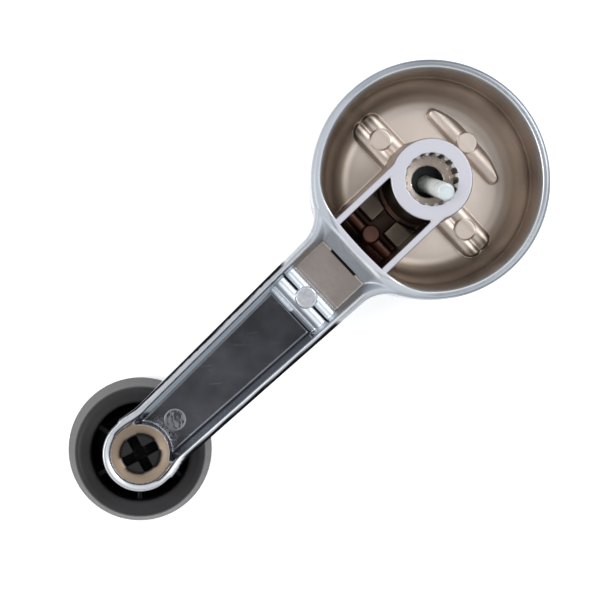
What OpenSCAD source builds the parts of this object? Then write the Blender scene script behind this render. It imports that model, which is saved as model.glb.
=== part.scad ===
// Vehicle window crank handle: a die-cast head and arm, a snap-in turning knob,
// and a captive retaining screw behind a snap-in centre cap.
// The origin is on the spindle axis at the rim plane. +Z points out of the open back,
// towards the door panel, and +X runs along the arm to the knob.

/* [Head] */
// Outer radius at the open rim
rim_r = 31.4; // [31:0.1:31.8]
// Largest radius of the head, at its parting line
belly_r = 32.6; // [32.4:0.1:33.5]
// Width of the flat rim face between its rounded edges
rim_w = 1.1; // [1:0.1:1.6]
// Depth of the parting line below the rim
belly_depth = 1.8; // [1.5:0.1:4]
// Depth of the cup floor below the rim
floor_depth = 17.5; // [16.5:0.5:18]
// Depth of the front shoulder below the rim
front_depth = 23; // [22.5:0.5:25]
// Radius of the rounded front shoulder
shoulder_r = 9.5; // [7:0.5:10]

/* [Hub] */
// Outer radius of the socket hub
hub_r = 11.15; // [10.8:0.05:11.6]
// How far the hub face sits below the rim
hub_inset = 0.3; // [0.2:0.1:0.6]
// Radius at the roots of the socket serrations
socket_root_r = 7.2; // [7.1:0.05:7.6]
// Radius at the crests of the serrations
socket_crest_r = 6.5; // [6.45:0.05:6.6]
// Depth of the serrated socket
socket_depth = 8.6; // [8:0.1:9]
// Number of serrations
tooth_count = 16; // [12:4:20]
// Radius of the screw hole through the web
web_hole_r = 4.3; // [4.25:0.05:4.6]
// Thickness of the web at the bottom of the socket
web_t = 3.5; // [3:0.1:3.6]

/* [Arm] */
// Distance from the spindle axis to the knob axis
crank_r = 108; // [104:1:112]
// Half width of the arm where it leaves the head
neck_half_w = 11.4; // [10.8:0.1:11.6]
// Half width of the arm just before the knob end
end_half_w = 9.3; // [8.8:0.1:9.3]
// Thickness of the arm walls
wall_t = 2; // [1.6:0.1:2.2]
// Drop of the arm's back edge from the head to the knob end
arm_drop = 8; // [7.5:0.5:8.5]
// Depth of the arm from its back edge to its front
arm_depth = 10; // [9.5:0.5:11]
// Depth of the channel below the back edge
channel_depth = 7; // [6:0.5:7.5]

/* [Knob] */
// Radius of the arm's rounded knob end
bulb_r = 10.4; // [10.2:0.1:10.8]
// Radius of the bearing hole for the knob post
bearing_r = 5; // [4.9:0.05:5.1]
// Largest radius of the knob
knob_r = 20.6; // [19.5:0.1:21.5]
// Radius of the knob at its arm side
knob_back_r = 17.9; // [17:0.1:18.6]
// Radius of the knob's hollow
knob_hollow_r = 13.5; // [13:0.1:14]
// Length of the knob without its post
knob_len = 19; // [17:0.5:21]

/* [Screw] */
// Radius of the screw shank
shank_r = 2.35; // [2.2:0.05:2.35]
// Lean of the loose screw from upright, in degrees
screw_lean = 15.5; // [15:0.1:15.5]
// Length of the shank below the head
shank_len = 18.4; // [16:0.1:19]

/* [Hidden] */
$fn = 72;
eps = 0.05;

hub_z = -hub_inset;
floor_z = -floor_depth;
front_z = -front_depth;
cup_fillet_r = 7;
cup_draft = 1.7;
web_top_z = hub_z - socket_depth;
web_under_z = web_top_z - web_t;

// Arm side profile: the back edge runs straight from neck_x down to bulb_x.
neck_x = 31;
bulb_x = crank_r - 10;
arm_end_x = crank_r - 4;
boss_back_z = -arm_drop;
boss_front_z = -arm_drop - arm_depth;
boss_inset = 1;
boss_r = 8.2;
seat_r = 6.6;
seat_z = boss_back_z - boss_inset - 1.2;
function back_z(x) = x < neck_x ? 0 : x > bulb_x ? -arm_drop : -arm_drop * (x - neck_x) / (bulb_x - neck_x);

// Neck: chord wall, panel and cross bar behind it.
chord_x = 27;
chord_t = 2.2;
panel_x = 32.2;
panel_drop = 4;
bar_x = 43.2;
bar_w = 7.8;
bar_ridge_r = 1.7;
bar_half_len = 9;
neck_blend_r = 10;

// Cross walls from the hub to the chord wall.
rib_y = 9.1;
rib_t = 2;

// Cup floor details.
side_ridge_x = -16.5;
side_ridge_r = 3.1;
side_ridge_bow_r = 35.3;
side_ridge_half = 13.7;
twin_ridge_x = [-1.5, 2.5];
twin_ridge_r = 2;
twin_ridge_end_y = 25;
twin_ridge_len = 17;
twin_pad_x = 0.5;
twin_pad_y = 17.1;
pad_r = 2.9;
pad_t = 2.4;

// Floor between the cross walls.
hub_ring_r = 13;
block_x = 12;
block_len = 6;
block_w = 6.3;
block_t = 3.6;
cross_bar_x = 20.9;
cross_bar_w = 3;
round_pad_r = 2.5;

// Front recess for the screw head and the centre cap.
recess_r = 9.4;
cap_seat_r = 14;
cap_seat_z = -21;
crown_z = -24.5;

// Screw: the pivot lies on the spindle axis inside the head.
pivot_z = -15.4;
head_top = 0.7;
head_t = 3;
head_r = 4.6;
tip_chamfer = 0.4;
washer_r = 5;
washer_t = 0.8;

// Knob heights.
knob_top_z = boss_front_z - 0.6;
knob_end_z = knob_top_z - knob_len;
knob_edge_r = 3.5;
knob_floor_t = 4.5;
hub_tube_r = 6.6;
post_r = bearing_r - 0.08;
hook_r = bearing_r + 0.55;
finger_top_z = seat_z + 2;
finger_angle = 75;
finger_slot_w = 2.7;
knob_rib_count = 6;
knob_rib_angle = 46;
knob_rib_t = 1.4;
face_seat_r = 15.2;
face_r = 15;
face_t = 0.85;

// Points of an arc from angle a to angle b about centre c.
function arc(c, r, a, b, n) = [for (i = [0:n]) c + r * [cos(a + (b - a) * i / n), sin(a + (b - a) * i / n)]];

// Half outline of the arm: a concave blend out of the head, then a straight taper.
blend_y = neck_half_w + neck_blend_r;
blend_x = sqrt(pow(belly_r + neck_blend_r, 2) - pow(blend_y, 2));
function neck_edge() = arc([blend_x, blend_y], neck_blend_r, 212, 270, 7);

module arm_plan(inset) {
    points = [for (p = neck_edge()) [p[0], p[1] - inset]];
    near = [[20, points[0][1]]];
    far = [[arm_end_x, end_half_w - inset]];
    upper = concat(near, points, far);
    lower = [for (i = [len(upper) - 1:-1:0]) [upper[i][0], -upper[i][1]]];
    polygon(concat(upper, lower));
}

// Side profile of the arm between two depths below its back edge.
module arm_side(from_x, to_x, top, bottom) {
    xs = concat([from_x], from_x < neck_x ? [neck_x] : [], to_x > bulb_x ? [bulb_x] : [], [to_x]);
    upper = [for (x = xs) [x, back_z(x) - top]];
    lower = [for (i = [len(xs) - 1:-1:0]) [xs[i], back_z(xs[i]) - bottom]];
    translate([0, 40, 0])
        rotate([90, 0, 0])
            linear_extrude(80)
                polygon(concat(upper, lower));
}

module head_shell() {
    outer = concat(
        [[rim_r, 0], [belly_r, -belly_depth]],
        arc([belly_r - shoulder_r, front_z + shoulder_r], shoulder_r, 0, -90, 8),
        [[cap_seat_r, crown_z], [0, crown_z]]);
    mouth_r = rim_r - rim_w;
    inner = concat(
        [[0, floor_z]],
        arc([mouth_r - cup_draft - cup_fillet_r, floor_z + cup_fillet_r], cup_fillet_r, -90, 0, 7),
        [[mouth_r, 0]]);
    rotate_extrude()
        polygon(concat(outer, inner));
}

// Solid behind the chord wall, where the head runs into the arm.
module neck_fill() {
    intersection() {
        translate([0, 0, floor_z - 1])
            cylinder(r = rim_r - 0.2, h = -floor_z + 1);
        translate([chord_x, -20, floor_z - 1])
            cube([10, 40, -floor_z + 1]);
    }
}

module arm_body() {
    intersection() {
        translate([0, 0, boss_front_z])
            linear_extrude(-boss_front_z)
                arm_plan(0);
        arm_side(chord_x, arm_end_x, 0, arm_depth);
    }
    translate([crank_r, 0, boss_front_z])
        cylinder(r = bulb_r, h = arm_depth);
}

// Everything carved out of the back of the neck and the arm.
module arm_channel() {
    intersection() {
        translate([0, 0, boss_front_z])
            linear_extrude(-boss_front_z + 1)
                arm_plan(wall_t);
        union() {
            arm_side(bar_x + bar_w, arm_end_x, -1, channel_depth);
            arm_side(panel_x, bar_x + bar_w + eps, -1, panel_drop);
            neck_slope();
        }
    }
    translate([crank_r, 0, boss_back_z - boss_inset])
        cylinder(r = boss_r, h = boss_inset + 1);
}

// The slope from the chord wall down to the neck panel.
module neck_slope() {
    translate([0, 40, 0])
        rotate([90, 0, 0])
            linear_extrude(80)
                polygon([[chord_x + chord_t, 0.5], [chord_x + chord_t, -0.6], [panel_x, -3],
                    [panel_x, -panel_drop], [panel_x + eps, -panel_drop], [panel_x + eps, 0.5]]);
}

module boss() {
    translate([crank_r, 0, boss_front_z + 1])
        cylinder(r = boss_r + 0.1, h = arm_depth - 1 - boss_inset);
}

module hub() {
    translate([0, 0, floor_z - 1])
        cylinder(r1 = hub_r + 0.5, r2 = hub_r, h = hub_z - floor_z + 1);
}

// The cross walls from the hub to the chord wall.
module ribs() {
    for (side = [-1, 1])
        translate([6, side * rib_y - rib_t / 2, floor_z - 1])
            cube([chord_x - 5.5, rib_t, hub_z - floor_z + 1]);
}

// A low ring round the hub, two blocks and a cross bar, all between the ribs.
module pocket_floor() {
    half_w = rib_y - rib_t / 2 + 0.4;
    intersection() {
        translate([0, -half_w - 0.1, floor_z - 1])
            cube([hub_ring_r, 2 * half_w + 0.2, pad_t + 1]);
        translate([0, 0, floor_z - 1])
            cylinder(r = hub_ring_r, h = pad_t + 1);
    }
    for (side = [-1, 1])
        translate([block_x, side * (half_w - block_w / 2) - block_w / 2, floor_z - 1])
            cube([block_len, block_w, block_t + 1]);
    translate([cross_bar_x - cross_bar_w / 2, -half_w, floor_z - 1])
        cube([cross_bar_w, 2 * half_w, pad_t + 0.9]);
    translate([cross_bar_x - 0.3, 0, floor_z - 1])
        cylinder(r = round_pad_r, h = pad_t + 1.5);
}

module ejector_pad(x, y) {
    translate([x, y, floor_z - 1])
        cylinder(r = pad_r, h = pad_t + 1);
}

// The ridge across the far side of the cup floor: straight inside, bowed outside.
module side_ridge() {
    intersection() {
        translate([side_ridge_x + 0.6, side_ridge_half, floor_z - 1])
            rotate([90, 0, 0])
                cylinder(r = side_ridge_r, h = 2 * side_ridge_half);
        translate([side_ridge_x - 2.9 + side_ridge_bow_r, 0, floor_z - 1])
            cylinder(r = side_ridge_bow_r, h = 6);
        translate([side_ridge_x - 5, -side_ridge_half, floor_z - 1])
            cube([7.6, 2 * side_ridge_half, 6]);
    }
}

// Half-round ridges on the cup floor with an ejector pad on each.
module floor_ridges() {
    for (side = [-1, 1]) {
        for (x = twin_ridge_x)
            translate([x, side * twin_ridge_end_y, floor_z - 0.2])
                rotate([side * 90, 0, 0])
                    cylinder(r = twin_ridge_r, h = twin_ridge_len);
        ejector_pad(twin_pad_x, side * twin_pad_y);
    }
    side_ridge();
    ejector_pad(side_ridge_x, 0);
}

// Two half-round ridges across the neck with one ejector pad.
module neck_bar() {
    for (x = [bar_x + bar_ridge_r, bar_x + 3.1 * bar_ridge_r])
        translate([x, bar_half_len, back_z(x) - panel_drop])
            rotate([90, 0, 0])
                cylinder(r = bar_ridge_r, h = 2 * bar_half_len);
    translate([bar_x + 3.25, 0, back_z(bar_x) - panel_drop - 1])
        cylinder(r = pad_r, h = 2.8);
}

module socket_cut() {
    tooth_base = 5.5;
    tooth_tip = 2.5;
    difference() {
        translate([0, 0, web_top_z])
            cylinder(r = socket_root_r, h = socket_depth + 1);
        for (i = [0:tooth_count - 1])
            rotate([0, 0, (i + 0.5) * 360 / tooth_count])
                translate([0, 0, web_top_z - 1])
                    linear_extrude(socket_depth + 1)
                        polygon([
                            socket_crest_r * [cos(tooth_tip), sin(tooth_tip)],
                            (socket_root_r + 1) * [cos(tooth_base), sin(tooth_base)],
                            (socket_root_r + 1) * [cos(tooth_base), -sin(tooth_base)],
                            socket_crest_r * [cos(tooth_tip), -sin(tooth_tip)]]);
    }
    translate([0, 0, hub_z - 1])
        cylinder(r1 = socket_crest_r - 0.05, r2 = socket_root_r + 0.1, h = 1 + eps);
}

// Recess at the front for the screw head, and the wider seat of the cap.
module front_recess() {
    translate([0, 0, crown_z - 1])
        cylinder(r = recess_r, h = web_under_z - crown_z + 1);
    translate([0, 0, crown_z - 1])
        cylinder(r = cap_seat_r, h = cap_seat_z - crown_z + 1);
}

module crank_casting() {
    color("silver")
        difference() {
            union() {
                difference() {
                    union() {
                        head_shell();
                        neck_fill();
                        arm_body();
                    }
                    arm_channel();
                }
                hub();
                ribs();
                pocket_floor();
                floor_ridges();
                neck_bar();
                boss();
            }
            socket_cut();
            front_recess();
            translate([0, 0, web_under_z - 1])
                cylinder(r = web_hole_r, h = web_t + 2);
            translate([0, 0, web_top_z - 0.3])
                cylinder(r1 = web_hole_r, r2 = web_hole_r + 0.35, h = 0.35);
            translate([crank_r, 0, boss_front_z - 1])
                cylinder(r = bearing_r, h = arm_depth + 2);
            translate([crank_r, 0, seat_z])
                cylinder(r = seat_r, h = 5);
        }
}

module center_cap() {
    skirt_r = recess_r - 0.3;
    rim = cap_seat_r - 0.3;
    color("gainsboro")
        rotate_extrude()
            polygon(concat(
                [[0, -19.3], [6, -19.3], [6, -20], [skirt_r - 1.7, -20], [skirt_r - 1.7, -17],
                    [skirt_r, -17], [skirt_r, cap_seat_z], [rim, cap_seat_z], [rim, crown_z]],
                arc([0, crown_z + 35], 37.5, -69, -90, 6)));
}

module retaining_screw() {
    color("lightsteelblue")
        translate([0, 0, pivot_z])
            rotate([-screw_lean, 0, 0])
                difference() {
                    union() {
                        translate([0, 0, head_top - head_t])
                            cylinder(r = head_r, h = head_t);
                        cylinder(r = shank_r, h = head_top + shank_len - tip_chamfer);
                        translate([0, 0, head_top + shank_len - tip_chamfer])
                            cylinder(r1 = shank_r, r2 = shank_r - tip_chamfer, h = tip_chamfer);
                    }
                    for (turn = [0, 90])
                        rotate([0, 0, turn])
                            translate([-2.4, -0.6, head_top - head_t - 1])
                                cube([4.8, 1.2, 2.6]);
                }
}

module screw_washer() {
    color("darkslategray")
        translate([0, 0, pivot_z])
            rotate([-screw_lean, 0, 0])
                translate([0, 0, head_top])
                    difference() {
                        cylinder(r = washer_r, h = washer_t);
                        translate([0, 0, -1])
                            cylinder(r = shank_r + 0.1, h = washer_t + 2);
                    }
}

module knob_shell() {
    difference() {
        rotate_extrude()
            polygon(concat(
                [[0, knob_end_z], [knob_r - knob_edge_r, knob_end_z]],
                arc([knob_r - knob_edge_r, knob_end_z + knob_edge_r], knob_edge_r, -90, 0, 6),
                [[knob_back_r, knob_top_z - 0.6], [knob_back_r - 0.6, knob_top_z], [0, knob_top_z]]));
        translate([0, 0, knob_end_z + knob_floor_t])
            cylinder(r = knob_hollow_r, h = knob_len);
        translate([0, 0, knob_end_z - 1])
            cylinder(r = face_seat_r, h = 2);
    }
}

// Walls between the knob's outer skin and its centre tube.
module knob_ribs() {
    rib_h = knob_len - knob_floor_t - 3;
    for (i = [0:knob_rib_count - 1])
        rotate([0, 0, knob_rib_angle + i * 360 / knob_rib_count])
            translate([4, -knob_rib_t / 2, knob_end_z + knob_floor_t - 0.5])
                cube([knob_hollow_r - 3.5, knob_rib_t, rib_h + 0.5]);
}

// The post through the bearing hole, split by a cross slot into four hooked fingers.
module knob_post() {
    post_foot_z = knob_end_z + knob_floor_t - 0.5;
    difference() {
        union() {
            translate([0, 0, post_foot_z])
                cylinder(r = hub_tube_r, h = knob_top_z - post_foot_z);
            translate([0, 0, post_foot_z])
                cylinder(r = post_r, h = finger_top_z - post_foot_z);
            translate([0, 0, seat_z + 0.02])
                cylinder(r1 = hook_r, r2 = post_r, h = finger_top_z - seat_z - 0.02);
        }
        for (turn = [0, 90])
            rotate([0, 0, finger_angle + turn])
                translate([-8, -finger_slot_w / 2, knob_top_z + 0.5])
                    cube([16, finger_slot_w, 40]);
    }
}

module knob() {
    color("dimgray")
        translate([crank_r, 0, 0]) {
            knob_shell();
            knob_ribs();
            knob_post();
        }
}

module knob_face() {
    color("silver")
        translate([crank_r, 0, knob_end_z + 1 - face_t])
            cylinder(r = face_r, h = face_t);
}

crank_casting();
center_cap();
retaining_screw();
screw_washer();
knob();
knob_face();
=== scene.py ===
"""Looks for the window crank handle: smooth cast, moulded and turned surfaces, their materials,
a plain floor, soft studio light and the camera.

Every shape is a signed distance field in millimetres, in the part's own frame. solid() turns one
into a mesh and moves its points onto the exact surface, so fillets and edge breaks stay smooth.
"""
import math

import bpy
import numpy as np
import openvdb
from mathutils import Matrix, Vector


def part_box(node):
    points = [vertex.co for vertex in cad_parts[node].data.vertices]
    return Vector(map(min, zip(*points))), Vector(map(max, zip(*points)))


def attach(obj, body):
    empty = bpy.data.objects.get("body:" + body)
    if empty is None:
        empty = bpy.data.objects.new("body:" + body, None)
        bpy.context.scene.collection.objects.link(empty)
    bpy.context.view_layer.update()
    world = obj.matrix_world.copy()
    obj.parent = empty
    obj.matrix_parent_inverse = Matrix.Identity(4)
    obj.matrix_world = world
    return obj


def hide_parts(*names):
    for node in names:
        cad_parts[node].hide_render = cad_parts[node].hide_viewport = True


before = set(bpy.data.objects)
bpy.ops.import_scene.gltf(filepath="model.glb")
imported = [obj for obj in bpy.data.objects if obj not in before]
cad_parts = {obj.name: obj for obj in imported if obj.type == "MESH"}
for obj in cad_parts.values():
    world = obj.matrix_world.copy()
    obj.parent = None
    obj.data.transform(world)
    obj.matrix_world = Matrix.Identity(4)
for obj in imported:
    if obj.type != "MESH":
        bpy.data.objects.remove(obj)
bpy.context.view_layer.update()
MM = 0.001


# ---------------------------------------------------------------- sizes, in mm, from the frame
def box_mm(node):
    low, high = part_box(node)
    return np.array(low) / MM, np.array(high) / MM


CAST_LOW, CAST_HIGH = box_mm("crank_casting")
KNOB_LOW, KNOB_HIGH = box_mm("knob")
CAP_LOW, CAP_HIGH = box_mm("center_cap")
FACE_LOW, FACE_HIGH = box_mm("knob_face")

BELLY_R = min(CAST_HIGH[1], -CAST_LOW[0])     # largest radius of the head
KNOB_R = (KNOB_HIGH[1] - KNOB_LOW[1]) / 2     # largest radius of the knob
CRANK_R = (KNOB_LOW[0] + KNOB_HIGH[0]) / 2    # spindle axis to knob axis
BULB_R = CAST_HIGH[0] - CRANK_R               # rounded end of the arm
KNOB_END = KNOB_LOW[2]                        # front end of the knob
FRONT = -23.0                                 # front shoulder of the head
CROWN = CAST_LOW[2]                           # lowest point of its domed front
FLOOR = -17.5                                 # floor of the cup
HUB_TOP = -0.3                                # back face of the hub, just under the rim plane
WEB_TOP = -8.9                                # bottom of the socket
WEB_UNDER = -12.4                             # and the other side of its web
ARM_DROP = 8.0                                # fall of the arm's back edge towards the knob
ARM_DEPTH = 10.0                              # depth of the arm below its back edge
CHANNEL = 7.0                                 # depth of its channel
PANEL = 4.0                                   # depth of the neck's panel
NECK_X = 31.0                                 # the back edge starts to fall here
BULB_X = CRANK_R - 10                         # and is level again from here
CHORD_X = 27.0                                # wall between the cup and the neck
BAR_X = 43.2                                  # start of the bars across the neck
BAR_END = 51.0                                # start of the channel
WALL = 1.6                                    # thickness of the arm's walls at the back edge
TAPER = 0.0293                                # loss of half width per mm along the arm
BOSS_TOP = -9.0                               # face of the knob's bearing
SEAT_TOP = -10.2                              # foot of the chamfer around its bore
KNOB_TOP = -18.6                              # back edge of the knob
PIVOT_Z = -15.4                               # the screw leans about this height on the spindle axis
LEAN = math.radians(15.5)
CUP_R = 30.3                                  # the cup's radius at the rim plane
CUP_DRAFT = 0.162                             # and its gain per mm of height
CHANNEL_DRAFT = 0.225                         # loss of the channel's half width per mm of depth
ARM_START = 28.5                              # X from which the arm's plan is followed
ARM_HALF = 11.4                               # half width of the arm beside the head
ARM_FILLET = 10.0                             # radius between the head and the arm in plan
HUB_R = 11.2
SOCKET_R = 6.5                                # over the tips of the serrations
TOOTH_PITCH = 22.5                            # degrees
BOSS_R = 8.1
BORE_R = 5.0
POCKET_PAD_X = 20.6                           # round pad and bar between the ribs
POCKET_BAR_X = 20.9
SLIT_X = 32.75                                # slit at the head's end of the neck's panel; its dark line is painted shade
BAR_PAD_X = 46.45                             # pad on the neck's bars and the groove under it
BAR_GROOVE_X = 46.65
MARK_X = 94.9                                 # ejector mark on the channel's floor
KNOB_TOP_R = 17.9                             # radius of the knob under its back edge
KNOB_DRAFT = 0.178                            # and its gain per mm towards the front
KNOB_RIBS = 6
POST_R = 4.92
POST_END = -8.3                               # tips of the post's four snap fingers
CAP_DOME_R = 37.5
SCREW_HEAD_R = 4.6
SCREW_HEAD = 2.3                              # depth of the screw's head below its pivot
SCREW_R = 2.35
SCREW_END = 19.1                              # length of the screw above its pivot
WASHER_R = 5.0
WASHER_LOW, WASHER_HIGH = 0.7, 1.5            # above the same pivot


# ---------------------------------------------------------------- distance-field tools
def smin(a, b, k):
    h = np.maximum(k - np.abs(a - b), 0) / k
    return np.minimum(a, b) - h * h * k * 0.25


def smax(a, b, k):
    return -smin(-a, -b, k)


def step(a, b, v):
    t = np.clip((v - a) / (b - a), 0, 1)
    return t * t * (3 - 2 * t)


def round_profile(r, z, radius, low, high, r_low, r_high):
    """A disc in (r, z) with its own corner radius at each end."""
    mid = (low + high) / 2
    rc = np.where(z > mid, r_high, r_low)
    qr = r - radius + rc
    qz = np.abs(z - mid) - (high - low) / 2 + rc
    return np.minimum(np.maximum(qr, qz), 0) + np.hypot(np.maximum(qr, 0), np.maximum(qz, 0)) - rc


def box(x, y, z, low, high, rc):
    q = [np.abs(v - (a + b) / 2) - (b - a) / 2 + rc for v, a, b in zip((x, y, z), low, high)]
    outside = np.sqrt(sum(np.maximum(v, 0) ** 2 for v in q))
    return np.minimum(np.maximum(np.maximum(q[0], q[1]), q[2]), 0) + outside - rc


def capsule_y(x, y, z, cx, cz, y0, y1, radius):
    return np.sqrt((x - cx) ** 2 + (y - np.clip(y, y0, y1)) ** 2 + (z - cz) ** 2) - radius


# ---------------------------------------------------------------- the casting
def back_edge(x):
    """Height of the arm's back edge: flat, sloped, then flat, with soft bends."""
    soft = 3.0

    def ramp(v):
        return 0.5 * (v + np.sqrt(v * v + soft * soft))
    return -ARM_DROP / (BULB_X - NECK_X) * (ramp(x - NECK_X) - ramp(x - BULB_X))


def arm_half_width(x):
    """Half width of the arm's plan and the cosine of its edge's slope."""
    blend_x = math.sqrt((BELLY_R + ARM_FILLET) ** 2 - (ARM_HALF + ARM_FILLET) ** 2)
    taper = ARM_HALF - TAPER * np.maximum(x - blend_x, 0)
    dx = np.clip(blend_x - x, 0, 8.5)
    drop = np.sqrt(ARM_FILLET ** 2 - dx * dx)
    return taper + ARM_FILLET - drop, drop / ARM_FILLET


def channel_half_width(x):
    return 11.25 - TAPER * (x - 36.9) - WALL


def pocket_half_width(x, depth):
    """The neck pocket flares out with the arm and narrows to a straight-sided panel."""
    half, _ = arm_half_width(np.maximum(x, ARM_START))
    flare = np.maximum(half - WALL - 0.25, channel_half_width(x))
    sunk = np.clip(depth / PANEL, 0, 1)
    return flare + (8.15 - flare) * (1 - (1 - sunk) ** 1.6)


def head_outer(z, r):
    """The head's upright wall and its domed front."""
    d = round_profile(r, z, BELLY_R, FRONT, 0.0, 9.5, 1.2)
    sag = FRONT - CROWN
    crown_r = (22.0 ** 2 + sag ** 2) / (2 * sag)
    crown = np.sqrt(r * r + (z - CROWN - crown_r) ** 2) - crown_r
    return smin(d, np.maximum(np.maximum(crown, r - 23), z + 20), 2.0)


def cup(x, z, r):
    """The hollow of the head, closed by the chord wall on the arm's side."""
    flared = r - CUP_DRAFT * z + 0.12 * step(-9.0, -9.4, z)
    d = round_profile(flared, z, CUP_R, FLOOR, 6.0, 7.0, 0.5)
    return smax(d, x - CHORD_X - 0.02 * z, 5.0)


def arm_plan(x, y, drop):
    """Distance outside the arm's plan outline, which grows with the draft below the back edge."""
    half, slope = arm_half_width(np.maximum(x, ARM_START))
    side = (np.abs(y) - half - 0.05 * drop) * slope
    bulb = np.hypot(x - CRANK_R, y) - BULB_R + 0.25 - 0.02 * drop
    return smin(np.maximum(side, x - CRANK_R + 3), bulb, 3.0)


def arm_outer(x, y, z):
    top = back_edge(x)
    d = smax(arm_plan(x, y, top - z), z - top, 0.6)
    d = smax(d, top - ARM_DEPTH - z, 5.0)
    return np.maximum(d, CHORD_X + 0.5 - x)


def arm_hollow(x, y, z):
    """Channel, neck pocket and the shallow round above the boss."""
    top = back_edge(x)
    depth = top - z
    side = np.abs(y) - channel_half_width(x) + CHANNEL_DRAFT * depth
    bulb = np.hypot(x - CRANK_R, y) - 8.0 + 0.05 * depth
    deep = smax(smax(side, x - 103.5, 1.0), top - CHANNEL - z, 0.8)
    plan = smin(np.maximum(side, x - CRANK_R), bulb, 3.0)
    shallow = smax(np.maximum(plan, 97 - x), BOSS_TOP - z, 0.3)
    channel = smax(np.minimum(deep, shallow), BAR_END + 0.15 * depth - x, 0.5)
    slope = ((-0.25 - z) - 0.92 * (x - 29.0)) / 1.36
    panel = np.where(x < 32.6, slope, top - PANEL - z)
    panel = np.where(x > 36, top - PANEL - 0.7 * step(BAR_X - 1.3, BAR_X + 0.3, x) - z, panel)
    pocket = smax((np.abs(y) - pocket_half_width(x, depth)) * 0.9, panel, 0.6)
    pocket = smax(pocket, x - BAR_END - 1.0, 0.4)
    return np.minimum(channel, pocket)


def neck_bar(x, y, z):
    """Two half-round ridges across the neck with one ejector pad."""
    top = back_edge(x)
    d = None
    for cx in (BAR_X + 1.7, BAR_X + 5.25):
        ridge = np.hypot(x - cx, z - top + PANEL + 0.45) - 1.72
        d = ridge if d is None else smin(d, ridge, 0.25)
    shelf = np.maximum(np.abs(x - BAR_X - 3.9) - 3.9, z - top + PANEL + 0.5)
    d = smax(smin(d, shelf, 0.5), np.abs(y) - 8.9, 0.3)
    pad = smax(np.hypot(x - BAR_PAD_X, y) - 2.9, z + 3.95, 0.35)
    return np.maximum(smin(d, pad, 0.2), top - 9 - z)


def hub_and_ribs(x, y, z, r):
    hub = r - HUB_R + 0.035 * z
    rib = np.abs(np.abs(y) - 9.1) - 1.0 + 0.02 * z
    rib = np.maximum(np.maximum(rib, x - CHORD_X - 1), 5 - x)
    plan = smin(hub, rib, 0.5)
    return smax(np.maximum(plan, FRONT + 2 - z), z - HUB_TOP, 0.5)


def side_ridge(x, y, z):
    """A half-round ridge, straight towards the hub and bowed on its outer side."""
    ay = np.abs(y)
    crest = np.hypot(x + 16.0, z - FLOOR + 0.9) - 3.15
    bow = smax(np.hypot(x - 12.4, y) - 32.0, x + 13.45, 0.3)
    plan = smax(bow, ay - 13.9 + 0.16 * (x + 15.6) ** 2, 1.0)
    return smax(crest, plan + 0.25 * (z - FLOOR), 0.5)


def twin_ridge(x, y, z):
    """Two half-round ridges side by side with squared ends."""
    ay = np.abs(y)
    left = np.hypot(x + 1.35, z - FLOOR + 0.3) - 2.75
    right = np.hypot(x - 3.15, z - FLOOR + 0.3) - 2.55
    qx = np.abs(x - 0.8) - 4.75 + 3.2
    qy = ay - 24.9 + 3.2
    plan = np.minimum(np.maximum(qx, qy), 0) + np.hypot(np.maximum(qx, 0), np.maximum(qy, 0)) - 3.2
    plan = np.maximum(plan + 0.2 * (z - FLOOR), 5 - ay)
    return smax(smin(left, right, 0.7), plan, 0.6)


def floor_details(x, y, z):
    """Ridges, ejector pads and the blocks between the ribs."""
    ay = np.abs(y)
    bars = twin_ridge(x, y, z)
    pads = smax(np.hypot(x - 0.5, ay - 17.1) - 2.9, z - FLOOR - 2.55, 0.4)
    side_pad = smax(np.hypot(x + 16.6, y) - 2.9, z - FLOOR - 2.45, 0.4)
    d = smin(smin(bars, pads, 0.35), smin(side_ridge(x, y, z), side_pad, 0.35), 0.3)
    pocket = np.maximum(ay - 8.6, 8 - x)
    block = box(x, ay, z, (9.0, 2.2, FRONT), (18.0, 9, FLOOR + 3.6), 0.6)
    block = smax(block, 13.1 - np.hypot(x, y), 0.5)
    ring = smax(np.hypot(x, y) - 13.0, z - FLOOR - 2.4, 0.6)
    bar = capsule_y(x, y, z, POCKET_BAR_X, FLOOR + 0.6, -9, 9, 1.7)
    round_pad = smax(np.hypot(x - POCKET_PAD_X, y) - 2.5, z - FLOOR - 2.9, 0.4)
    low = smin(np.maximum(smin(block, ring, 0.3), pocket), smin(bar, round_pad, 0.3), 0.3)
    return np.maximum(smin(d, low, 0.3), FRONT + 2 - z)


def tooth_phase(x, y):
    """Degrees around the spindle axis from the middle of the nearest serration."""
    return np.abs(np.mod(np.degrees(np.arctan2(y, x)), TOOTH_PITCH) - TOOTH_PITCH / 2)


def socket(x, y, z, r):
    """The serrated socket, its chamfered mouth and the screw hole in the web."""
    wall = SOCKET_R + 0.72 * np.clip((tooth_phase(x, y) - 2.8) / 3.2, 0, 1)
    serrated = np.maximum((r - wall) * 0.75, WEB_TOP - z)
    mouth = (r - SOCKET_R - 0.75 * (z + 1.25)) * 0.8
    mouth = np.maximum(mouth, -3 - z)
    hole = np.maximum(r - 4.3, WEB_UNDER - 2 - z)
    return np.minimum(np.minimum(serrated, mouth), hole)


def front_recess(r, z):
    """The seat of the cap and the well of the screw's head, cut from the front."""
    deep = smax(r - 9.4, z - WEB_UNDER, 0.4)
    return np.minimum(deep, smax(r - 14, z + 21, 0.3))


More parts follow.
